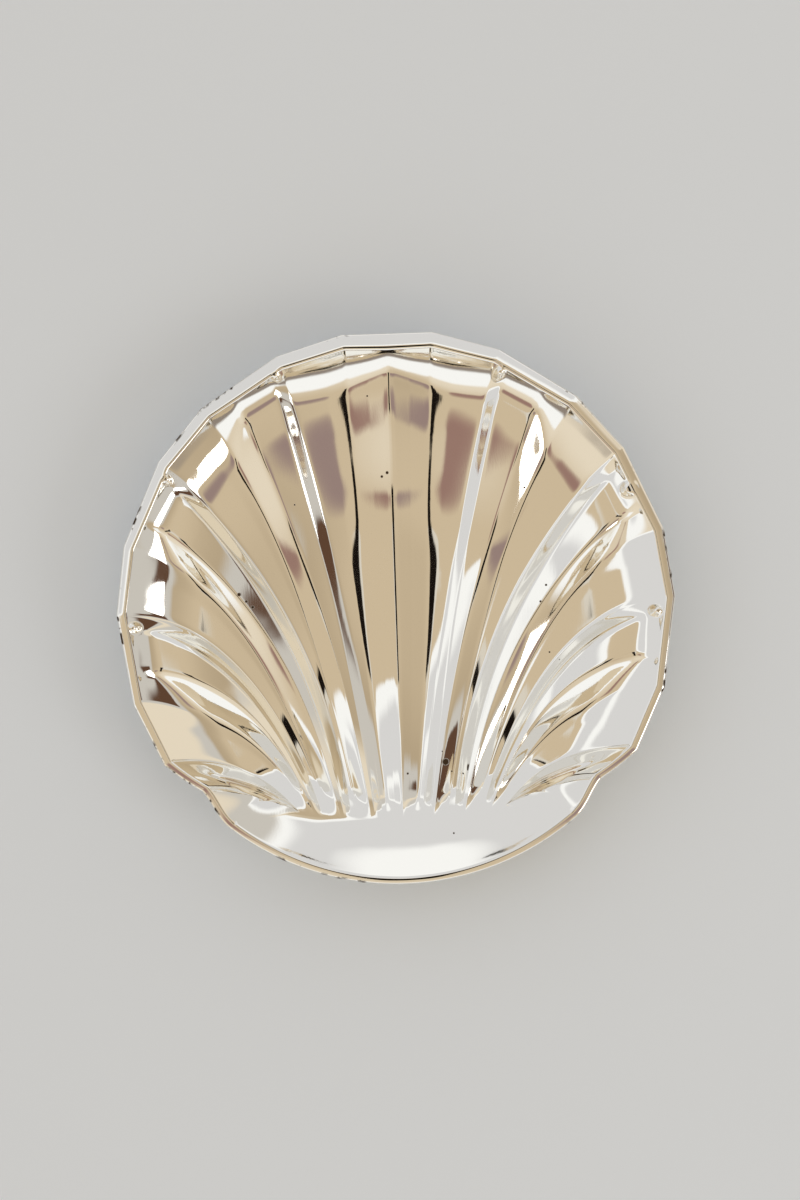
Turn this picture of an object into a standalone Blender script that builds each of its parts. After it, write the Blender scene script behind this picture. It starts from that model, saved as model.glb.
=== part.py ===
"""Shell shaped platter: one sheet of plated metal, pressed into a scallop.

Metres, +Z up. +Y runs from the hinge to the top of the fan, and the dish stands on z = 0 with the
middle of its outline over the origin. Angles are in degrees, measured from +Y towards +X.

The sheet is a net of lines that spread from the hinge to the rim. Each line has a plan curve and a
height, and the lines lie where the section changes: crests, creases, valley floors and flanks.
"""
import bmesh
import bpy
import numpy as np

# Outline
RIM_RADIUS = 0.1150
HINGE_RADIUS = 0.1132
NOTCH_RADIUS = 0.1095

# Sheet, and heights of its underside above the table
SHEET = 0.0012
RIM_HEIGHT = 0.0310
TABLE_CONTACT = 0.00005
CREST_LOW = 0.0022
CREST_END = 0.0225

# Grooves between the crests: depth in the middle, at the top of the fan and at its sides
GROOVE_MIDDLE = 0.0029
GROOVE_TOP = 0.0056
GROOVE_SIDE = 0.0075

# Flange, widest at the top of the fan, and its turned edge
FLANGE_TOP = 0.0066
FLANGE_SIDE = 0.0040
FLANGE_HINGE = 0.0028
LIP_RUN = 0.0012
LIP_DROP = 0.0016

# Fan: a rib in the middle, then a valley and a rib in turn, then a valley and the ear's ridge
RIBS_PER_SIDE = 3
RIB_ANGLE = 18.8
VALLEY_ANGLE = 14.1
RIDGE_ANGLE = 9.3
EAR_ANGLE = 9.5

# Hinge: the lines meet on a flat arc, a rib and a valley taking these angles of it
HUB_HALF_WIDTH = 0.0515
HUB_RISE = 0.0090
HUB_Y = -0.0875
HUB_RIB_ANGLE = 11.6
HUB_VALLEY_ANGLE = 3.9

# Plan curves: each line bends towards a guide point, given by the line's angle at the rim
GUIDE_ANGLES = (0.0, 9.4, 23.5, 42.3, 56.4, 75.2, 90.0, 108.0, 122.0, 132.0)
GUIDE_X = (0.0, 0.0138, 0.0155, 0.0370, 0.0300, 0.0620, 0.0625, 0.0592, 0.0620, 0.0600)
GUIDE_Y = (-0.0290, -0.0290, -0.0130, 0.0180, -0.0040, 0.0150, -0.0040, -0.0420, -0.0610, -0.0720)

# Bowl: heights rise with the distance from its centre, and more slowly towards the hinge
BOWL_Y = 0.0120
BOWL_RISE_START = 0.0200
BOWL_RISE_END = 0.0920
BOWL_HINGE_SHARE = 0.56

# Ends of the lines: the valley tips at the hinge, and the walls up to the flange
TIP_RUN_MIDDLE = 0.0080
TIP_RUN_EAR = 0.0260
CREST_WALL_RUN = 0.0105
VALLEY_WALL_TOP = 0.0160
VALLEY_WALL_SIDE = 0.0300
SWEEP_CURVE = 1.70
EAR_CURVE = 2.40

# Section: a rib has a steep flank, a panel up to its crest and an outer panel down to the next valley.
# Each place is a share of the rib's width, at the rim, at the guide and at the hinge.
FLANK_RIM_SHARE = 0.14
FLANK_GUIDE_SHARE = 0.30
FLANK_HUB_SHARE = 0.28
CREST_RIM_SHARE = 0.66
CREST_GUIDE_SHARE = 0.50
CREST_HUB_SHARE = 0.46
FLANK_HEIGHT = 0.92
CREST_HEIGHT = 1.25
CENTRE_MIDDLE_HEIGHT = 0.60
FLOOR_WIDTH = 0.40
FIRST_VALLEY_RISE = 0.20
VALLEY_DIP = 0.14
RIDGE_PLACE = 0.55
RIDGE_FOOT = 0.10

# Lines across each step of the section, and rows along each line
CENTRE_LINES = 2
FLOOR_LINES = 1
VALLEY_LINES = 2
FLANK_LINES = 3
PANEL_LINES = 3
OUTER_LINES = 3
EAR_LINES = 3
TIP_ROWS = 2
FLOOR_ROWS = 9
WALL_ROWS = 6
TIP_LENGTH = 0.0120
WALL_LENGTH = 0.0320
SWEEP_ROWS = 4
SWEEP_COLUMNS = 20

SHARP_ANGLE = 35.0
SILVER = (0.83, 0.80, 0.74, 1.0)


def smooth_step(value):
    """0 to 1 with level ends."""
    value = np.clip(value, 0.0, 1.0)
    return value * value * (3.0 - 2.0 * value)


def fan_lines():
    """(rim angle, guide angle, hub angle, height share) of the lines, from the centre to the ear.

    The marks are the section's crests, creases and edges. Each step between two is filled evenly.
    """
    marks = [(0.0, 0.0, 0.0, 1.0, CENTRE_LINES)]
    marks.append((RIB_ANGLE / 4, RIB_ANGLE / 4, HUB_RIB_ANGLE / 4, CENTRE_MIDDLE_HEIGHT, CENTRE_LINES))
    rim, hub = RIB_ANGLE / 2, HUB_RIB_ANGLE / 2
    for rib in range(RIBS_PER_SIDE + 1):
        floor_rim = rim + VALLEY_ANGLE * FLOOR_WIDTH
        floor_hub = hub + HUB_VALLEY_ANGLE * FLOOR_WIDTH
        marks.append((rim, rim, hub, 0.0, FLOOR_LINES))
        marks.append((floor_rim, floor_rim, floor_hub, 0.0, VALLEY_LINES))
        rim += VALLEY_ANGLE
        hub += HUB_VALLEY_ANGLE
        marks.append((rim, rim, hub, FIRST_VALLEY_RISE if rib == 0 else -VALLEY_DIP, FLANK_LINES))
        if rib < RIBS_PER_SIDE:
            marks.append((rim + RIB_ANGLE * FLANK_RIM_SHARE, rim + RIB_ANGLE * FLANK_GUIDE_SHARE,
                          hub + HUB_RIB_ANGLE * FLANK_HUB_SHARE, FLANK_HEIGHT, PANEL_LINES))
            marks.append((rim + RIB_ANGLE * CREST_RIM_SHARE, rim + RIB_ANGLE * CREST_GUIDE_SHARE,
                          hub + HUB_RIB_ANGLE * CREST_HUB_SHARE, CREST_HEIGHT, OUTER_LINES))
            rim += RIB_ANGLE
            hub += HUB_RIB_ANGLE
    ridge = rim + RIDGE_ANGLE * RIDGE_PLACE
    foot = rim + RIDGE_ANGLE
    ear = foot + EAR_ANGLE
    marks.append((ridge, ridge, hub, 1.0, FLOOR_LINES))
    marks.append((foot, foot, hub, RIDGE_FOOT, EAR_LINES))
    marks.append((ear, ear, hub, 0.0, 0))
    marks = np.array(marks)
    place = np.concatenate([[0.0], np.cumsum(marks[:-1, 4])])
    steps = np.arange(place[-1] + 1)
    return np.stack([np.interp(steps, place, column) for column in marks[:, :4].T], axis=1)


def rim_corners():
    """Angles where the rim's straight edges meet, from the centre to the ear's ridge."""
    corners = [-RIB_ANGLE / 2, RIB_ANGLE / 2]
    for rib in range(RIBS_PER_SIDE):
        corners.append(corners[-1] + VALLEY_ANGLE)
        corners.append(corners[-1] + RIB_ANGLE)
    corners.append(corners[-1] + VALLEY_ANGLE)
    return np.array(corners)


def edge_radius(angle):
    """Distance from the centre to the outer edge: chords round the fan, a notch, then an arc."""
    corners = rim_corners()
    notch = corners[-1] + RIDGE_ANGLE
    cell = np.clip(np.searchsorted(corners, angle) - 1, 0, len(corners) - 2)
    middle = np.radians((corners[cell] + corners[cell + 1]) / 2)
    half = np.radians((corners[cell + 1] - corners[cell]) / 2)
    chord = RIM_RADIUS * np.cos(half) / np.cos(np.radians(angle) - middle)
    dip = RIM_RADIUS + (NOTCH_RADIUS - RIM_RADIUS) * (angle - corners[-1]) / RIDGE_ANGLE
    arc = NOTCH_RADIUS + (HINGE_RADIUS - NOTCH_RADIUS) * smooth_step((angle - notch) / EAR_ANGLE)
    return np.where(angle <= corners[-1], chord, np.where(angle <= notch, dip, arc))


def edge_point(angle, inset):
    """Plan point at this angle, inset from the outer edge."""
    radius = edge_radius(angle) - inset
    return np.stack([radius * np.sin(np.radians(angle)), radius * np.cos(np.radians(angle))], axis=-1)


def flange_width(angle):
    """Width of the flange at this angle."""
    return np.interp(angle, (0.0, 90.0, 180.0), (FLANGE_TOP, FLANGE_SIDE, FLANGE_HINGE))


def hub_point(angle):
    """Plan point of the hinge arc."""
    turn = np.radians(angle)
    return np.stack([HUB_HALF_WIDTH * np.sin(turn), HUB_Y + HUB_RISE * (1.0 - np.cos(turn))], axis=-1)


def bowl_share(point):
    """0 where the bowl is level, rising smoothly to 1 where it meets the rim."""
    along = point[..., 1] - BOWL_Y
    distance = np.hypot(point[..., 0], np.where(along < 0, along * BOWL_HINGE_SHARE, along))
    return smooth_step((distance - BOWL_RISE_START) / (BOWL_RISE_END - BOWL_RISE_START))


def crest_height(point):
    """Height of the bowl that the crests lie on."""
    return CREST_LOW + (CREST_END - CREST_LOW) * bowl_share(point)


def line_rows(length):
    """Distances along each line: close rows at the tip and at the wall, wide ones between."""
    tip = np.minimum(TIP_LENGTH, 0.15 * length)[:, None]
    wall = np.minimum(WALL_LENGTH, 0.40 * length)[:, None]
    floor = length[:, None] - tip - wall
    near = np.arange(TIP_ROWS)[None] / TIP_ROWS * tip
    middle = tip + np.arange(FLOOR_ROWS)[None] / FLOOR_ROWS * floor
    far = length[:, None] - wall * (1.0 - np.arange(WALL_ROWS + 1)[None] / WALL_ROWS)
    return np.concatenate([near, middle, far], axis=1)


def fan_points(lines):
    """Points of the fan's upper face as an array of lines by rows."""
    angle, guide_angle, hub, share = lines.T
    root = hub_point(hub)
    rim = edge_point(angle, flange_width(angle))
    guide = np.stack([np.interp(guide_angle, GUIDE_ANGLES, GUIDE_X),
                      np.interp(guide_angle, GUIDE_ANGLES, GUIDE_Y)], axis=-1)
    length = np.linalg.norm(guide - root, axis=-1) + np.linalg.norm(rim - guide, axis=-1)
    blend = (line_rows(length) / length[:, None])[..., None]
    plan = ((1 - blend) ** 2 * root[:, None] + 2 * blend * (1 - blend) * guide[:, None]
            + blend ** 2 * rim[:, None])
    from_root = np.linalg.norm(plan - root[:, None], axis=-1)
    from_rim = np.linalg.norm(plan - rim[:, None], axis=-1)
    side = smooth_step(angle / 90.0)[:, None]
    crest = crest_height(plan)
    groove_end = GROOVE_TOP + (GROOVE_SIDE - GROOVE_TOP) * side
    groove = GROOVE_MIDDLE + (groove_end - GROOVE_MIDDLE) * bowl_share(plan)
    tip_run = TIP_RUN_MIDDLE + (TIP_RUN_EAR - TIP_RUN_MIDDLE) * (hub / hub.max())[:, None] ** 2
    inner = crest - groove * smooth_step(from_root / tip_run) * (1.0 - share[:, None])
    inner = np.maximum(inner, 0.0)
    valley_run = VALLEY_WALL_TOP + (VALLEY_WALL_SIDE - VALLEY_WALL_TOP) * side
    run = valley_run + (CREST_WALL_RUN - valley_run) * np.clip(share, 0.0, 1.0)[:, None]
    wall = np.clip(1.0 - from_rim / run, 0.0, 1.0) ** 2
    height = inner + (RIM_HEIGHT - SHEET - inner) * wall
    return np.concatenate([plan, height[..., None] + SHEET], axis=-1)


def sweep_points(angles, hubs):
    """Points of the smooth sweep from the hinge arc down to its edge, as lines by rows."""
    root = hub_point(hubs)
    rim = edge_point(angles, flange_width(angles))
    share = np.arange(1, SWEEP_ROWS + 1)[None, :] / SWEEP_ROWS
    plan = (1 - share)[..., None] * root[:, None] + share[..., None] * rim[:, None]
    ear = smooth_step(np.abs(hubs) / hubs.max())[:, None]
    curve = SWEEP_CURVE + (EAR_CURVE - SWEEP_CURVE) * ear
    rise = (RIM_HEIGHT - SHEET - crest_height(rim))[:, None] * share ** curve
    return np.concatenate([plan, (crest_height(plan) + rise)[..., None] + SHEET], axis=-1)


def rim_points(angles):
    """Flange and turned edge outside the given lines, as lines by two rows."""
    flat = edge_point(angles, LIP_RUN)
    edge = edge_point(angles, 0.0)
    top = np.full((len(angles), 1), RIM_HEIGHT)
    return np.stack([np.concatenate([flat, top], axis=-1),
                     np.concatenate([edge, top - LIP_DROP], axis=-1)], axis=1)


def mirrored(points):
    """The left-hand copy of the right-hand lines, outermost line first."""
    return points[::-1] * np.array([-1.0, 1.0, 1.0])


def add_grid(mesh, verts):
    """Quads over an array of vertices."""
    for first, second in zip(verts[:-1], verts[1:]):
        for row in range(len(first) - 1):
            mesh.faces.new((first[row], first[row + 1], second[row + 1], second[row]))


def add_seam(mesh, first, second):
    """Triangles between two chains of vertices, always across the shorter diagonal."""
    i = j = 0
    while i < len(first) - 1 or j < len(second) - 1:
        step_first = j == len(second) - 1
        if i < len(first) - 1 and not step_first:
            step_first = (first[i + 1].co - second[j].co).length < (first[i].co - second[j + 1].co).length
        if step_first:
            mesh.faces.new((first[i], first[i + 1], second[j]))
            i += 1
        else:
            mesh.faces.new((first[i], second[j + 1], second[j]))
            j += 1


def dish_mesh():
    """The upper face of the sheet as one open mesh."""
    lines = fan_lines()
    right = np.concatenate([fan_points(lines), rim_points(lines[:, 0])], axis=1)
    fan = np.concatenate([mirrored(right)[:-1], right])

    share = np.linspace(0.0, 1.0, SWEEP_COLUMNS // 2 + 1)
    last_angle, last_hub = lines[-1, 0], lines[-1, 2]
    angles = 180.0 + (last_angle - 180.0) * share * (1.0 - 0.5 / len(share))
    below = np.concatenate([sweep_points(angles, last_hub * share), rim_points(angles)], axis=1)
    sweep = np.concatenate([mirrored(below)[:-1], below])

    mesh = bmesh.new()
    hub_end = {}
    fan_verts = []
    for line in fan:
        verts = []
        for row, point in enumerate(line):
            key = tuple(np.round(point, 7))
            if row == 0 and key in hub_end:
                verts.append(hub_end[key])
                continue
            vert = mesh.verts.new(point)
            if row == 0:
                hub_end[key] = vert
            verts.append(vert)
        fan_verts.append(verts)
    sweep_verts = [[mesh.verts.new(point) for point in line] for line in sweep]

    for first, second in zip(fan_verts[:-1], fan_verts[1:]):
        for row in range(len(first) - 1):
            corners = (first[row], first[row + 1], second[row + 1], second[row])
            mesh.faces.new(tuple(dict.fromkeys(corners)))
    add_grid(mesh, sweep_verts)

    hub_chain = list(dict.fromkeys(line[0] for line in fan_verts))
    upper = fan_verts[0][:0:-1] + hub_chain + fan_verts[-1][1:]
    lower = sweep_verts[0][:0:-1] + [line[0] for line in sweep_verts] + sweep_verts[-1][1:]
    add_seam(mesh, lower, upper)
    bmesh.ops.recalc_face_normals(mesh, faces=mesh.faces)
    if sum(face.normal.z * face.calc_area() for face in mesh.faces) < 0:
        bmesh.ops.reverse_faces(mesh, faces=mesh.faces)
    return mesh


def silver_plate():
    """Polished silver plate."""
    material = bpy.data.materials.new("silver_plate")
    material.use_nodes = True
    shader = material.node_tree.nodes["Principled BSDF"]
    shader.inputs["Base Color"].default_value = SILVER
    shader.inputs["Metallic"].default_value = 1.0
    shader.inputs["Roughness"].default_value = 0.06
    return material


def shell_dish():
    """The pressed sheet, with its thickness below the upper face, flat where it stands on the table."""
    mesh = dish_mesh()
    middle = (max(v.co.y for v in mesh.verts) + min(v.co.y for v in mesh.verts)) / 2
    bmesh.ops.translate(mesh, verts=mesh.verts, vec=(0.0, -middle, 0.0))
    bmesh.ops.solidify(mesh, geom=mesh.faces[:], thickness=SHEET)
    for vert in mesh.verts:
        if vert.co.z < TABLE_CONTACT:
            vert.co.z = 0.0
    data = bpy.data.meshes.new("shell_dish")
    mesh.to_mesh(data)
    mesh.free()
    data.shade_smooth()
    data.set_sharp_from_angle(angle=np.radians(SHARP_ANGLE))
    data.materials.append(silver_plate())
    dish = bpy.data.objects.new("shell_dish", data)
    bpy.context.collection.objects.link(dish)
    return dish


for old in list(bpy.data.objects):
    bpy.data.objects.remove(old, do_unlink=True)
shell_dish()
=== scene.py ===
from math import radians

import bmesh
import bpy
import numpy as np
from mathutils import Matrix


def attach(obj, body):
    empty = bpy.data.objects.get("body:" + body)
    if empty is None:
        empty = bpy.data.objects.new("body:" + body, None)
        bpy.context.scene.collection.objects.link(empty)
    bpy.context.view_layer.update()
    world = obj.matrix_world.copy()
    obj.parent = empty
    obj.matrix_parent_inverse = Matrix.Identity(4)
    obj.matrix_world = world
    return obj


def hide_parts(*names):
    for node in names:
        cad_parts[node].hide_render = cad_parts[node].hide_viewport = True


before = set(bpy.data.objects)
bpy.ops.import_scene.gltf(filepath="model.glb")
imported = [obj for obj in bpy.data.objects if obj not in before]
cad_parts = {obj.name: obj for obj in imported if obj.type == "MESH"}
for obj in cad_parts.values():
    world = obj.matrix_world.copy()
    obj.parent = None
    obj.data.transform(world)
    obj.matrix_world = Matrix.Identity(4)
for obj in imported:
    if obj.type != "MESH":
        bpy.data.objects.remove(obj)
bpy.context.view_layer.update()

# Pressed sheet
# One thin sheet of brass, pressed between dies into a scallop: ribs and valleys in turn, a ridge that
# curls round each ear, and a smooth sweep below the hinge. The same press leaves a flange, whose edge is
# then turned down. Sizes are in metres, and angles in degrees from +Y.
SHEET = 0.0012
RIM_RADIUS = 0.11499
HINGE_RADIUS = 0.11319
NOTCH_RADIUS = 0.1095
RIM_HEIGHT = 0.0310


def smooth_step(value):
    """0 to 1 with level ends: 3v^2 - 2v^3."""
    value = np.clip(value, 0.0, 1.0)
    return value * value * (3.0 - 2.0 * value)


# Widths of the features, first at the rim and then on the hinge's arc
RIBS_PER_SIDE = 3
RIB_ANGLE, VALLEY_ANGLE, RIDGE_ANGLE, EAR_ANGLE = 18.8, 14.1, 9.3, 9.5
HUB_RIB_ANGLE, HUB_VALLEY_ANGLE = 11.6, 3.9

# Section across the ribs: shares of a rib's width at the rim, the guide and the hinge, and of its height
CENTRE_CREST, CENTRE_CREST_HEIGHT = 0.06, 0.995
CENTRE_MIDDLE, CENTRE_MIDDLE_HEIGHT = 0.5, 0.52
FLANK_SHARES, FLANK_HEIGHT = (0.14, 0.30, 0.28), 1.04
CREST_SHARES, CREST_HEIGHT = (0.66, 0.50, 0.46), 1.20
FLOOR_WIDTH, VALLEY_RISE, VALLEY_DIP = 0.33, 0.30, 0.14
RIDGE_CREST, RIDGE_END_HEIGHT = 0.55, 0.1
SECTION_ROUNDING = 4

# Columns of the grid across each feature
CENTRE_CREST_COLUMNS, CENTRE_COLUMNS, FLOOR_COLUMNS, VALLEY_COLUMNS = 4, 12, 6, 18
FLANK_COLUMNS, PANEL_COLUMNS, OUTER_COLUMNS = 12, 22, 12
RIDGE_COLUMNS, EAR_COLUMNS = 10, 10


def fan_lines():
    """Rim angle, guide angle, hinge angle and height share of each right-hand line.

    The features of the section are listed first, from the centre rib to the ear. Each step between two
    of them is then filled with even columns, and the height share is smoothed along the columns.
    """
    marks = []
    for place, height, columns in ((0.0, 1.0, CENTRE_CREST_COLUMNS),
                                   (CENTRE_CREST, CENTRE_CREST_HEIGHT, CENTRE_COLUMNS),
                                   (CENTRE_MIDDLE, CENTRE_MIDDLE_HEIGHT, CENTRE_COLUMNS)):
        rim, hub = RIB_ANGLE / 2 * place, HUB_RIB_ANGLE / 2 * place
        marks.append((rim, rim, hub, height, columns))
    rim, hub = RIB_ANGLE / 2, HUB_RIB_ANGLE / 2
    for rib in range(RIBS_PER_SIDE + 1):
        floor_end = rim + VALLEY_ANGLE * FLOOR_WIDTH
        marks.append((rim, rim, hub, 0.0, FLOOR_COLUMNS))
        marks.append((floor_end, floor_end, hub + HUB_VALLEY_ANGLE * FLOOR_WIDTH, 0.0, VALLEY_COLUMNS))
        rim += VALLEY_ANGLE
        hub += HUB_VALLEY_ANGLE
        marks.append((rim, rim, hub, VALLEY_RISE if rib == 0 else -VALLEY_DIP, FLANK_COLUMNS))
        if rib < RIBS_PER_SIDE:
            for across, height, columns in ((FLANK_SHARES, FLANK_HEIGHT, PANEL_COLUMNS),
                                            (CREST_SHARES, CREST_HEIGHT, OUTER_COLUMNS)):
                marks.append((rim + RIB_ANGLE * across[0], rim + RIB_ANGLE * across[1],
                              hub + HUB_RIB_ANGLE * across[2], height, columns))
            rim += RIB_ANGLE
            hub += HUB_RIB_ANGLE
    crest = rim + RIDGE_ANGLE * RIDGE_CREST
    marks.append((crest, crest, hub, 1.0, RIDGE_COLUMNS))
    notch = rim + RIDGE_ANGLE
    marks.append((notch, notch, hub, RIDGE_END_HEIGHT, EAR_COLUMNS))
    marks.append((notch + EAR_ANGLE, notch + EAR_ANGLE, hub, 0.0, 0))
    marks = np.array(marks)
    place = np.concatenate([[0.0], np.cumsum(marks[:-1, 4])])
    lines = np.stack([np.interp(np.arange(place[-1] + 1), place, column) for column in marks[:, :4].T])
    for step in range(SECTION_ROUNDING):
        lines[3, 1:-1] = (lines[3, :-2] + 2.0 * lines[3, 1:-1] + lines[3, 2:]) / 4.0
    return lines


def edge_radius(angle):
    """Outer edge: chords between corners on a circle, a dip to the notch, then the hinge's arc."""
    turns = np.tile([VALLEY_ANGLE, RIB_ANGLE], RIBS_PER_SIDE)
    corners = np.concatenate([[-RIB_ANGLE / 2, RIB_ANGLE / 2], RIB_ANGLE / 2 + np.cumsum(turns)])
    corners = np.append(corners, corners[-1] + VALLEY_ANGLE)
    notch = corners[-1] + RIDGE_ANGLE
    cell = np.clip(np.searchsorted(corners, angle) - 1, 0, len(corners) - 2)
    middle = (corners[cell] + corners[cell + 1]) / 2
    half = (corners[cell + 1] - corners[cell]) / 2
    chord = RIM_RADIUS * np.cos(np.radians(half)) / np.cos(np.radians(angle - middle))
    dip = RIM_RADIUS + (NOTCH_RADIUS - RIM_RADIUS) * (angle - corners[-1]) / RIDGE_ANGLE
    arc = NOTCH_RADIUS + (HINGE_RADIUS - NOTCH_RADIUS) * smooth_step((angle - notch) / EAR_ANGLE)
    return np.where(angle <= corners[-1], chord, np.where(angle <= notch, dip, arc))


def edge_point(angle, inset):
    """Plan point at an angle, this far inside the outer edge."""
    radius = edge_radius(angle) - inset
    turn = np.radians(angle)
    return np.stack([radius * np.sin(turn), radius * np.cos(turn)], axis=-1)


# Flange, from the top of the fan by way of its sides to the hinge, and how steep its outer edge is
FLANGE_TOP, FLANGE_SIDE, FLANGE_HINGE = 0.0066, 0.0040, 0.0028
FLANGE_SLOPE = 0.34
LIP_RADIUS = 0.0013
FLANGE_ROWS, LIP_ROWS = 5, 4


def flange_width(angle):
    """Width at an angle, even between the top, the side and the hinge."""
    return np.interp(angle, (0.0, 90.0, 180.0), (FLANGE_TOP, FLANGE_SIDE, FLANGE_HINGE))


def flange_rows(plan, rim, edge):
    """Adds the flange's rows to each line, straight out from the wall to the turned edge."""
    share = np.linspace(0.0, 1.0, FLANGE_ROWS + 1)[None, 1:, None]
    return np.concatenate([plan, rim[:, None] + (edge - rim)[:, None] * share], axis=1)


def flange_drop(plan, rim, edge):
    """Fall of the flange outwards: slope times the square of the way out, over twice the full way."""
    out = np.linalg.norm(plan[:, -FLANGE_ROWS:] - rim[:, None], axis=-1)
    drop = np.zeros(plan.shape[:2])
    drop[:, -FLANGE_ROWS:] = FLANGE_SLOPE * out ** 2 / (2.0 * np.linalg.norm(edge - rim, axis=-1)[:, None])
    return drop


def turned_edge(angle, level):
    """Quarter turn down outside the flange, lines by rows."""
    turn = np.linspace(0.0, np.pi / 2, LIP_ROWS + 1)[1:]
    plan = np.stack([edge_point(angle, LIP_RADIUS * (1.0 - np.sin(step))) for step in turn], axis=1)
    return np.dstack([plan, level[:, None] - LIP_RADIUS * (1.0 - np.cos(turn))[None]])


HUB_HALF_WIDTH, HUB_RISE, HUB_Y = 0.0515, 0.0090, -0.0875


def hub_point(angle):
    """Plan point on the flat arc where the fan meets the sweep."""
    turn = np.radians(angle)
    return np.stack([HUB_HALF_WIDTH * np.sin(turn), HUB_Y + HUB_RISE * (1.0 - np.cos(turn))], axis=-1)


BOWL_Y = 0.0120
CREST_LOW, CREST_END = 0.0022, 0.0225
CREST_RISE_START, CREST_RISE_END, CREST_HINGE_SHARE = 0.0200, 0.0920, 0.56


def bowl_height(plan, low, high, start, end, hinge_share):
    """Bowl: level to start, then a smooth rise to end, stretched towards the hinge."""
    ahead = plan[..., 1] - BOWL_Y
    distance = np.hypot(plan[..., 0], np.where(ahead < 0.0, ahead * hinge_share, ahead))
    return low + (high - low) * smooth_step((distance - start) / (end - start))


def crest_height(plan):
    """Bowl that the rib crests lie on."""
    return bowl_height(plan, CREST_LOW, CREST_END, CREST_RISE_START, CREST_RISE_END, CREST_HINGE_SHARE)


def soft_lower(first, second, blend):
    """The lower of two heights, rounded where they cross."""
    return (first + second) / 2 - np.sqrt(((first - second) / 2) ** 2 + blend ** 2)


# Rows along a line: close at the tip and on the wall, wide between, and closest just under the flange
TIP_ROWS, FLOOR_ROWS, WALL_ROWS = 10, 28, 24
TIP_LENGTH, TIP_LENGTH_SHARE = 0.012, 0.15
WALL_LENGTH, WALL_LENGTH_SHARE, WALL_CLOSENESS = 0.026, 0.40, 1.3


def line_rows(length):
    """Distances along each line, from the hinge's arc to the flange."""
    tip = np.minimum(TIP_LENGTH, TIP_LENGTH_SHARE * length)[:, None]
    wall = np.minimum(WALL_LENGTH, WALL_LENGTH_SHARE * length)[:, None]
    near = np.linspace(0.0, 1.0, TIP_ROWS, endpoint=False)[None] * tip
    middle = tip + np.linspace(0.0, 1.0, FLOOR_ROWS, endpoint=False)[None] * (length[:, None] - tip - wall)
    far = length[:, None] - wall * (1.0 - np.linspace(0.0, 1.0, WALL_ROWS + 1)[None]) ** WALL_CLOSENESS
    return np.concatenate([near, middle, far], axis=1)


# Guide points that the lines bend towards, the depth of the valleys below the crests, the length over
# which a valley deepens from its tip, and the foot of the wall under the flange
GUIDE_ANGLES = (0.0, 9.4, 23.5, 42.3, 56.4, 75.2, 90.0, 108.0, 122.0, 132.0)
GUIDE_X = (0.0, 0.0138, 0.0155, 0.0370, 0.0300, 0.0620, 0.0625, 0.0592, 0.0620, 0.0600)
GUIDE_Y = (-0.0290, -0.0290, -0.0130, 0.0180, -0.0040, 0.0150, -0.0040, -0.0420, -0.0610, -0.0720)
GROOVE_MIDDLE, GROOVE_TOP, GROOVE_SIDE = 0.0022, 0.0056, 0.0075
TIP_RUN_MIDDLE, TIP_RUN_EAR = 0.0080, 0.0260
CREST_WALL_RUN, VALLEY_WALL_TOP, VALLEY_WALL_SIDE = 0.0105, 0.0160, 0.0300
FLANGE_BEND = 0.0001


def fan_face(lines):
    """Upper face of the fan and its flange, lines by rows.

    Each line is a quadratic curve from the hinge arc past its guide point to the flange. Its height is
    the crest bowl less the groove depth times (1 - height share), and then the wall up to the flange.
    """
    angle, guide_angle, hub, share = lines
    root = hub_point(hub)
    rim = edge_point(angle, flange_width(angle))
    edge = edge_point(angle, LIP_RADIUS)
    guide = np.stack([np.interp(guide_angle, GUIDE_ANGLES, GUIDE_X),
                      np.interp(guide_angle, GUIDE_ANGLES, GUIDE_Y)], axis=-1)
    length = np.linalg.norm(guide - root, axis=-1) + np.linalg.norm(rim - guide, axis=-1)
    blend = (line_rows(length) / length[:, None])[..., None]
    plan = (1 - blend) ** 2 * root[:, None] + 2 * blend * (1 - blend) * guide[:, None] \
        + blend ** 2 * rim[:, None]
    inside = plan.shape[1]
    plan = flange_rows(plan, rim, edge)
    from_root = np.linalg.norm(plan - root[:, None], axis=-1)
    from_rim = np.linalg.norm(plan - rim[:, None], axis=-1)
    from_rim[:, inside:] *= -1.0
    side = smooth_step(angle / 90.0)[:, None]
    groove = bowl_height(plan, GROOVE_MIDDLE, GROOVE_TOP + (GROOVE_SIDE - GROOVE_TOP) * side,
                         CREST_RISE_START, CREST_RISE_END, CREST_HINGE_SHARE)
    tip_run = TIP_RUN_MIDDLE + (TIP_RUN_EAR - TIP_RUN_MIDDLE) * (hub / hub.max())[:, None] ** 2
    inner = crest_height(plan) - groove * smooth_step(from_root / tip_run) * (1.0 - share[:, None])
    inner = np.maximum(inner, 0.0)
    valley_run = VALLEY_WALL_TOP + (VALLEY_WALL_SIDE - VALLEY_WALL_TOP) * side
    run = valley_run + (CREST_WALL_RUN - valley_run) * np.clip(share, 0.0, 1.0)[:, None]
    top = RIM_HEIGHT - SHEET
    wall = inner + (top - inner) * np.clip(1.0 - from_rim / run, 0.0, None) ** 2
    return np.dstack([plan, soft_lower(wall, top, FLANGE_BEND) + SHEET - flange_drop(plan, rim, edge)])


SWEEP_CURVE, EAR_CURVE = 1.7, 2.4
SWEEP_COLUMNS, SWEEP_ROWS = 80, 24


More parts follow.
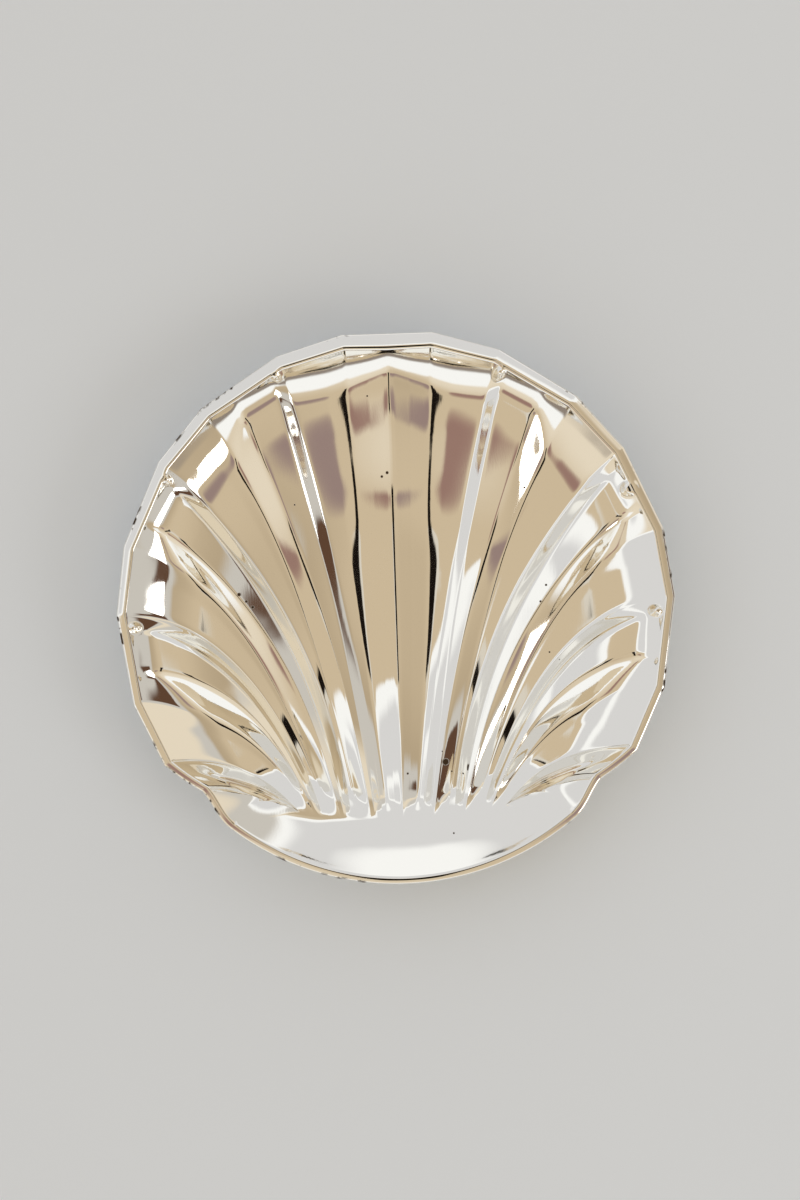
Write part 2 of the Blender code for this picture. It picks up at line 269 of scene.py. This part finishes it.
def sweep_face(angle, hub, rows):
    """Upper face below the hinge, lines by rows: straight in plan, the crest bowl and a power curve."""
    root = hub_point(hub)
    rim = edge_point(angle, flange_width(angle))
    edge = edge_point(angle, LIP_RADIUS)
    share = np.linspace(0.0, 1.0, rows + 1)[None, :]
    plan = (1 - share)[..., None] * root[:, None] + share[..., None] * rim[:, None]
    plan = flange_rows(plan, rim, edge)
    reach = np.linalg.norm(rim - root, axis=-1)[:, None]
    share = np.linalg.norm(plan - root[:, None], axis=-1) / reach
    curve = SWEEP_CURVE + (EAR_CURVE - SWEEP_CURVE) * smooth_step(hub / hub.max())[:, None]
    top = RIM_HEIGHT - SHEET
    start = crest_height(plan)
    end = crest_height(rim)[:, None]
    height = soft_lower(start + (top - end) * share ** curve, top, FLANGE_BEND) + SHEET
    return np.dstack([plan, height - flange_drop(plan, rim, edge)])


# Small round tongues of the flange beside the ribs: angle, distance from the middle, radius
TONGUES = ((25.6, 0.1068, 0.0012), (64.6, 0.1085, 0.0024), (92.2, 0.1076, 0.0012),
           (-25.4, 0.1084, 0.0012), (-58.6, 0.1086, 0.0012), (-92.2, 0.1084, 0.0012))
TONGUE_DEPTH, TONGUE_SLOPE, TONGUE_BEND = 0.0002, 2.6, 0.0002


def with_tongues(points):
    """Raises the tongues: level inside their radius, then a steep cone, rounded where it lands."""
    height = points[..., 2]
    for angle, distance, size in TONGUES:
        centre = distance * np.array([np.sin(np.radians(angle)), np.cos(np.radians(angle))])
        beyond = np.linalg.norm(points[..., :2] - centre, axis=-1) - size
        tongue = RIM_HEIGHT - TONGUE_DEPTH - TONGUE_SLOPE * np.maximum(beyond, 0.0)
        height = (height + tongue) / 2 + np.sqrt(((height - tongue) / 2) ** 2 + TONGUE_BEND ** 2)
        height = np.minimum(height, RIM_HEIGHT)
    return np.dstack([points[..., :2], height])


# Unevenness that hand polishing leaves: waves a few hundredths of a millimetre high at most
WAVES, WAVE_SEED, WAVE_HEIGHT = 14, 7, 0.000008
WAVE_SHORTEST, WAVE_LONGEST, WAVE_TYPICAL = 0.009, 0.026, 0.02
WAVE_FLOOR_FADE, WAVE_RIM_FADE = 0.003, 0.001


def with_waves(points):
    """Adds plane waves, longer ones higher, that fade out at the floor and at the rim."""
    source = np.random.default_rng(WAVE_SEED)
    shift = np.zeros(points.shape[:2])
    for wave in range(WAVES):
        length = source.uniform(WAVE_SHORTEST, WAVE_LONGEST)
        turn = source.uniform(0.0, np.pi)
        phase = source.uniform(0.0, 2 * np.pi)
        course = points[..., 0] * np.cos(turn) + points[..., 1] * np.sin(turn)
        shift += length / WAVE_TYPICAL * np.sin(2 * np.pi * course / length + phase)
    fade = np.clip((points[..., 2] - SHEET) / WAVE_FLOOR_FADE, 0.0, 1.0) \
        * np.clip((RIM_HEIGHT - points[..., 2]) / WAVE_RIM_FADE, 0.0, 1.0)
    return np.dstack([points[..., :2], points[..., 2] + WAVE_HEIGHT * shift * fade])


def mirrored(half):
    """Left copy, without its first line, and the right half."""
    return np.concatenate([half[:0:-1] * (-1, 1, 1), half])


def numbered(grid, first):
    """Numbers of a grid's vertices, counted from first."""
    return first + np.arange(grid.shape[0] * grid.shape[1]).reshape(grid.shape[:2])


def along(points):
    """Share of a chain's length at each of its points."""
    step = np.linalg.norm(np.diff(points, axis=0), axis=-1)
    return np.concatenate([[0.0], np.cumsum(step)]) / step.sum()


def zip_faces(first, second, first_place, second_place):
    """Triangles between two chains of vertices, in the order of their places along the seam."""
    step = np.concatenate([(first_place[1:] + first_place[:-1]), (second_place[1:] + second_place[:-1])])
    kind = np.concatenate([np.zeros(len(first) - 1, int), np.ones(len(second) - 1, int)])
    kind = kind[np.argsort(step, kind="stable")]
    on_first = np.concatenate([[0], np.cumsum(kind == 0)])[:-1]
    on_second = np.concatenate([[0], np.cumsum(kind == 1)])[:-1]
    far = np.where(kind == 0, first[np.minimum(on_first + 1, len(first) - 1)],
                   second[np.minimum(on_second + 1, len(second) - 1)])
    return np.stack([first[on_first], far, second[on_second]], axis=-1)


lines = fan_lines()
fan_half = fan_face(lines)
fan_half = np.concatenate([fan_half, turned_edge(lines[0], fan_half[:, -1, 2])], axis=1)
fan = with_waves(with_tongues(mirrored(fan_half)))
share = np.linspace(0.0, 1.0, SWEEP_COLUMNS + 1)
sweep_angle = 180.0 + (lines[0, -1] - 180.0) * share * (1.0 - 0.5 / SWEEP_COLUMNS)
sweep_half = sweep_face(sweep_angle, lines[2, -1] * share, SWEEP_ROWS)[:, 1:]
sweep_half = np.concatenate([sweep_half, turned_edge(sweep_angle, sweep_half[:, -1, 2])], axis=1)
sweep = with_waves(mirrored(sweep_half))

# The outermost lines on each side start from one point, where the flank of the last valley meets the hinge
fan_index = numbered(fan, 0)
tip = FLANK_COLUMNS + RIDGE_COLUMNS + EAR_COLUMNS
fan_index[-tip:, 0] = fan_index[-tip - 1, 0]
fan_index[:tip, 0] = fan_index[tip, 0]
sweep_index = numbered(sweep, fan_index.max() + 1)
points = np.concatenate([fan.reshape(-1, 3), sweep.reshape(-1, 3)])
quads = []
for index in (fan_index, sweep_index):
    quads.append(np.stack([index[:-1, :-1], index[:-1, 1:], index[1:, 1:], index[1:, :-1]],
                          axis=-1).reshape(-1, 4))
quads = np.concatenate(quads)
pinched = quads[:, 0] == quads[:, 3]
triangles = [quads[pinched][:, :3]]
fan_seam = (fan_index[0, ::-1], fan_index[tip:len(fan) - tip, 0], fan_index[-1])
sweep_seam = (sweep_index[0, ::-1], sweep_index[:, 0], sweep_index[-1])
for upper, lower in zip(fan_seam, sweep_seam):
    triangles.append(zip_faces(upper, lower, along(points[upper]), along(points[lower])))
faces = quads[~pinched].tolist() + np.concatenate(triangles).tolist()

mesh = bpy.data.meshes.new("shell_dish")
mesh.from_pydata(points.tolist(), [], faces)
on_edge = [np.broadcast_to(np.arange(grid.shape[1]) >= grid.shape[1] - LIP_ROWS, grid.shape[:2]).ravel()
           for grid in (fan, sweep)]
mesh.attributes.new("turned_edge", "FLOAT", "POINT").data.foreach_set(
    "value", np.concatenate(on_edge).astype(np.float32))
mesh.validate()
build = bmesh.new()
build.from_mesh(mesh)
bmesh.ops.delete(build, geom=[vert for vert in build.verts if not vert.link_faces], context="VERTS")
bmesh.ops.recalc_face_normals(build, faces=build.faces)
if sum(face.normal.z * face.calc_area() for face in build.faces) < 0.0:
    bmesh.ops.reverse_faces(build, faces=build.faces)
middle = (max(vert.co.y for vert in build.verts) + min(vert.co.y for vert in build.verts)) / 2
bmesh.ops.translate(build, verts=build.verts, vec=(0.0, -middle, 0.0))
build.to_mesh(mesh)
build.free()
mesh.shade_smooth()
dish = bpy.data.objects.new("platter_shell", mesh)
bpy.context.collection.objects.link(dish)
thickness = dish.modifiers.new("sheet", "SOLIDIFY")
thickness.thickness = SHEET
thickness.offset = -1.0


def linear(code):
    """Linear colour from an sRGB hex code."""
    parts = [int(code[place:place + 2], 16) / 255.0 for place in (0, 2, 4)]
    return [part / 12.92 if part <= 0.04045 else ((part + 0.055) / 1.055) ** 2.4 for part in parts] + [1.0]


def add_node(tree, kind, inputs=None, **settings):
    """Adds a node; inputs takes values or sockets by name or number."""
    node = tree.nodes.new(kind)
    for name, value in settings.items():
        setattr(node, name, value)
    for name, value in (inputs or {}).items():
        if isinstance(value, bpy.types.NodeSocket):
            tree.links.new(value, node.inputs[name])
        else:
            node.inputs[name].default_value = value
    return node


# Polished silver plate over brass: nearly a perfect mirror, faintly warm, so that the eye sees the room in
# it. Years of polish leave haze in clouds of 26 mm, and scratches 0.7 mm wide and 11 mm long. The plate
# is gone in small dark pits, and tarnish clings to the turned edge in specks of 4 mm, 22 mm a cluster.
SILVER, BARE = linear("F6F4EE"), linear("4A3B2C")
BARE_ROUGHNESS = 0.55
HAZE_SCALE, SCRATCH_SCALE, SCRATCH_STRETCH, SCRATCH_TURN = 38.0, 1500.0, 0.06, 24
SPECK_SCALE, SPECK_CLUSTER_SCALE = 260.0, 45.0

# Pits: place and radius
PITS = ((0.0188, -0.0655, 0.0016), (0.0213, -0.0697, 0.0004), (0.0175, -0.0610, 0.0003),
        (0.0026, -0.0700, 0.0005), (0.0210, -0.0945, 0.0004), (-0.0091, 0.0890, 0.0004),
        (-0.0019, 0.0575, 0.0007), (-0.0042, 0.0560, 0.0006), (-0.0653, 0.0080, 0.0008),
        (-0.0625, 0.0050, 0.0006), (-0.0600, 0.0025, 0.0007), (0.0630, 0.0078, 0.0005),
        (0.0605, 0.0010, 0.0005), (-0.0412, 0.0450, 0.0004), (0.0640, -0.0205, 0.0004),
        (0.0555, 0.0490, 0.0005))
PIT_CORE, PIT_EDGE = 0.7, 1.1

silver = bpy.data.materials.new("polished_silver_plate_on_brass")
silver.use_nodes = True
tree = silver.node_tree
shader = tree.nodes["Principled BSDF"]
coords = add_node(tree, "ShaderNodeTexCoord").outputs["Object"]
haze = add_node(tree, "ShaderNodeTexNoise", {"Vector": coords, "Scale": HAZE_SCALE, "Detail": 4.0})
rough = add_node(tree, "ShaderNodeMapRange", {"Value": haze.outputs["Fac"], "From Min": 0.35,
                                              "From Max": 0.75, "To Min": 0.03, "To Max": 0.075})
stretched = add_node(tree, "ShaderNodeMapping", {"Vector": coords, "Scale": (1.0, SCRATCH_STRETCH, 1.0),
                                                 "Rotation": (0.0, 0.0, radians(SCRATCH_TURN))})
hair = add_node(tree, "ShaderNodeTexNoise", {"Vector": stretched.outputs[0], "Scale": SCRATCH_SCALE,
                                             "Detail": 2.0})
bump = add_node(tree, "ShaderNodeBump", {"Height": hair.outputs["Fac"], "Strength": 0.02, "Distance": 0.0002})
pitted = None
for x, y, radius in PITS:
    away = add_node(tree, "ShaderNodeVectorMath", {0: coords, 1: (x, y, 0.0)}, operation="SUBTRACT")
    flat = add_node(tree, "ShaderNodeVectorMath", {0: away.outputs[0], 1: (1.0, 1.0, 0.0)},
                    operation="MULTIPLY")
    length = add_node(tree, "ShaderNodeVectorMath", {0: flat.outputs[0]}, operation="LENGTH")
    spot = add_node(tree, "ShaderNodeMapRange", {"Value": length.outputs["Value"],
                                                 "From Min": radius * PIT_CORE, "From Max": radius * PIT_EDGE,
                                                 "To Min": 1.0, "To Max": 0.0})
    pitted = spot.outputs[0] if pitted is None else add_node(
        tree, "ShaderNodeMath", {0: pitted, 1: spot.outputs[0]}, operation="MAXIMUM").outputs[0]
speck = add_node(tree, "ShaderNodeTexNoise", {"Vector": coords, "Scale": SPECK_SCALE, "Detail": 3.0})
cluster = add_node(tree, "ShaderNodeTexNoise", {"Vector": coords, "Scale": SPECK_CLUSTER_SCALE,
                                                "Detail": 1.0})
ragged = add_node(tree, "ShaderNodeMapRange", {"Value": speck.outputs["Fac"], "From Min": 0.52,
                                               "From Max": 0.60})
patches = add_node(tree, "ShaderNodeMapRange", {"Value": cluster.outputs["Fac"], "From Min": 0.50,
                                                "From Max": 0.58})
on_edge = add_node(tree, "ShaderNodeAttribute", attribute_name="turned_edge").outputs["Fac"]
tarnish = add_node(tree, "ShaderNodeMath", {0: ragged.outputs[0], 1: patches.outputs[0]},
                   operation="MULTIPLY")
tarnish = add_node(tree, "ShaderNodeMath", {0: tarnish.outputs[0], 1: on_edge}, operation="MULTIPLY")
worn = add_node(tree, "ShaderNodeMath", {0: tarnish.outputs[0], 1: pitted}, operation="MAXIMUM").outputs[0]
colour = add_node(tree, "ShaderNodeMix", {"Factor": worn, 6: SILVER, 7: BARE}, data_type="RGBA")
matt = add_node(tree, "ShaderNodeMix", {"Factor": worn, 2: rough.outputs[0], 3: BARE_ROUGHNESS})
tree.links.new(colour.outputs[2], shader.inputs["Base Color"])
tree.links.new(matt.outputs[0], shader.inputs["Roughness"])
tree.links.new(bump.outputs[0], shader.inputs["Normal"])
shader.inputs["Metallic"].default_value = 1.0
mesh.materials.append(silver)
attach(dish, "root")
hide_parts("shell_dish")

# Paper
# A wide sheet of pale matt paper that the dish lies on. It is plain, and only takes the soft shadow.
PAPER_HALF_WIDTH = 3
floor_mesh = bpy.data.meshes.new("paper")
floor_mesh.from_pydata([(x * PAPER_HALF_WIDTH, y * PAPER_HALF_WIDTH, 0)
                        for x, y in ((-1, -1), (1, -1), (1, 1), (-1, 1))], [], [(0, 1, 2, 3)])
floor = bpy.data.objects.new("paper", floor_mesh)
bpy.context.collection.objects.link(floor)
paper = bpy.data.materials.new("pale_matt_paper")
paper.use_nodes = True
shader = paper.node_tree.nodes["Principled BSDF"]
shader.inputs["Base Color"].default_value = linear("E8EEF4")
shader.inputs["Roughness"].default_value = 0.9
floor_mesh.materials.append(paper)

# Room
# What the plate mirrors, painted by direction, each line over the ones before it: a warm ceiling and
# walls, a large bright window beyond the upper left, brown furniture low on the right, pale walls low on
# all sides, two soft mauve patches and a narrow dark gap overhead.
world = bpy.data.worlds.new("room")
bpy.context.scene.world = world
world.use_nodes = True
tree = world.node_tree
coords = add_node(tree, "ShaderNodeTexCoord")
direction = coords.outputs["Generated"]


def lobe(aim, start, end):
    """Factor that rises from 0 to 1 as a direction's share along aim goes from start to end."""
    dot = add_node(tree, "ShaderNodeVectorMath", {0: direction, 1: aim}, operation="DOT_PRODUCT")
    return add_node(tree, "ShaderNodeMapRange", {"Value": dot.outputs["Value"], "From Min": start,
                                                 "From Max": end}, interpolation_type="SMOOTHSTEP").outputs[0]


def times(first, second):
    """Product of two factors."""
    return add_node(tree, "ShaderNodeMath", {0: first, 1: second}, operation="MULTIPLY").outputs[0]


def painted(below, colour, factor):
    """Colour laid over the one below by a factor."""
    node = add_node(tree, "ShaderNodeMix", {"Factor": factor}, data_type="RGBA")
    for socket, value in ((node.inputs[6], below), (node.inputs[7], colour)):
        if isinstance(value, bpy.types.NodeSocket):
            tree.links.new(value, socket)
        else:
            socket.default_value = value
    return node.outputs[2]


beige, shade, cream = linear("CDBB9F"), linear("B5A388"), linear("E6DAC6")
white, grey, silver_grey = linear("FAFBFC"), linear("D8D8DA"), linear("C9C5BF")
brown, taupe, dark = linear("5E4434"), linear("8F847B"), linear("17120F")
mauve, cool_mauve, pale = linear("98796F"), linear("97827D"), linear("D9D2C6")
to_left, to_right = (-1.0, 0.0, 0.0), (1.0, 0.0, 0.0)
to_hinge, to_top = (0.0, -1.0, 0.0), (0.0, 1.0, 0.0)
to_zenith, to_floor = (0.0, 0.0, 1.0), (0.0, 0.0, -1.0)
to_window, to_top_wall = (-0.42, 0.907, 0.0), (-0.05, 0.99, 0.10)
to_shaded_right, to_hinge_wall, to_lower_left = (0.80, 0.30, 0.0), (-0.35, -0.94, 0.0), (-0.8, -0.6, 0.0)
to_left_mauve, left_mauve_end = (-0.37, -0.45, 0.813), (-0.30, 0.95, 0.0)
to_right_mauve, right_mauve_end = (0.38, -0.45, 0.808), (0.30, 0.95, 0.0)

# Ceiling and walls
room = painted(beige, shade, lobe(to_shaded_right, 0.02, 0.60))
room = painted(room, cream, lobe(to_hinge_wall, 0.42, 0.85))
room = painted(room, silver_grey, times(lobe(to_right, 0.60, 0.70), lobe(to_top, -0.55, -0.40)))
# Furniture on the right, in a near and a far piece
for far_side, near_top, far_top in (((-0.90, -0.87), (-0.24, -0.19), (-0.17, -0.11)),
                                    ((-0.98, -0.95), (-0.11, -0.08), (-0.19, -0.13))):
    across = times(lobe(to_right, 0.74, 0.77), lobe(to_left, *far_side))
    room = painted(room, brown, times(across, times(lobe(to_top, *near_top), lobe(to_hinge, *far_top))))
# Walls at the top right
room = painted(room, cream, times(lobe(to_right, 0.30, 0.55), lobe(to_top, 0.26, 0.34)))
room = painted(room, silver_grey, times(lobe(to_right, 0.35, 0.55), lobe(to_top, 0.42, 0.62)))
# Window with a white frame, and the white wall under it
room = painted(room, white, times(lobe(to_window, 0.185, 0.21), lobe(to_left, -0.56, -0.50)))
room = painted(room, grey, times(lobe(to_window, 0.25, 0.32), lobe(to_left, -0.50, -0.42)))
room = painted(room, white, times(lobe(to_top_wall, 0.93, 0.98), lobe(to_floor, -0.40, -0.30)))
# Light wall on the left
room = painted(room, white, times(lobe(to_left, 0.70, 0.74), lobe(to_top, -0.44, -0.38)))
room = painted(room, grey, times(lobe(to_left, 0.77, 0.82), lobe(to_top, -0.34, -0.28)))
# Mauve patches, cut off towards the hinge
room = painted(room, mauve, times(lobe(to_left_mauve, 0.978, 0.999), lobe(left_mauve_end, -0.40, -0.33)))
room = painted(room, cool_mauve, times(lobe(to_right_mauve, 0.978, 0.999),
                                       lobe(right_mauve_end, -0.40, -0.33)))
# White band and taupe foot of the wall behind the hinge
room = painted(room, white, times(lobe(to_hinge, 0.68, 0.76), lobe(to_floor, -0.58, -0.48)))
room = painted(room, taupe, times(lobe(to_hinge, 0.60, 0.75), lobe(to_floor, -0.16, -0.08)))
# Pale half of the ceiling straight above, and the dark gap beside it
room = painted(room, pale, times(lobe(to_lower_left, -0.06, 0.06), lobe(to_zenith, 0.979, 0.985)))
gap_width = times(lobe(to_left, -0.095, -0.060), lobe(to_right, -0.095, -0.060))
gap_length = times(lobe(to_hinge, -0.07, -0.04), lobe(to_top, -0.56, -0.52))
room = painted(room, dark, times(gap_width, gap_length))
background = tree.nodes["Background"]
tree.links.new(room, background.inputs["Color"])
background.inputs["Strength"].default_value = 1.05

# Lamp and view
# A wide soft lamp from the right and the hinge's side, and a view from straight above, turned a little.
lamp_data = bpy.data.lights.new("window", "AREA")
lamp_data.shape = "RECTANGLE"
lamp_data.size = 1.6
lamp_data.size_y = 1.0
lamp_data.energy = 12.0
lamp = bpy.data.objects.new("window", lamp_data)
lamp.location = (2.3, -1.2, 1.6)
lamp.rotation_euler = (radians(58), 0, radians(62))
bpy.context.collection.objects.link(lamp)

VIEW_DISTANCE, VIEW_HEIGHT, SENSOR_MM = 0.70, 0.492, 24.0
camera_data = bpy.data.cameras.new("camera")
camera_data.sensor_fit = "VERTICAL"
camera_data.sensor_height = SENSOR_MM
camera_data.lens = SENSOR_MM * VIEW_DISTANCE / VIEW_HEIGHT
camera = bpy.data.objects.new("camera", camera_data)
camera.location = (0.00176, 0.00351, RIM_HEIGHT + VIEW_DISTANCE)
camera.rotation_euler = (0.0, 0.0, -radians(1.9))
bpy.context.collection.objects.link(camera)
bpy.context.scene.camera = camera
bpy.context.scene.view_settings.view_transform = "Standard"
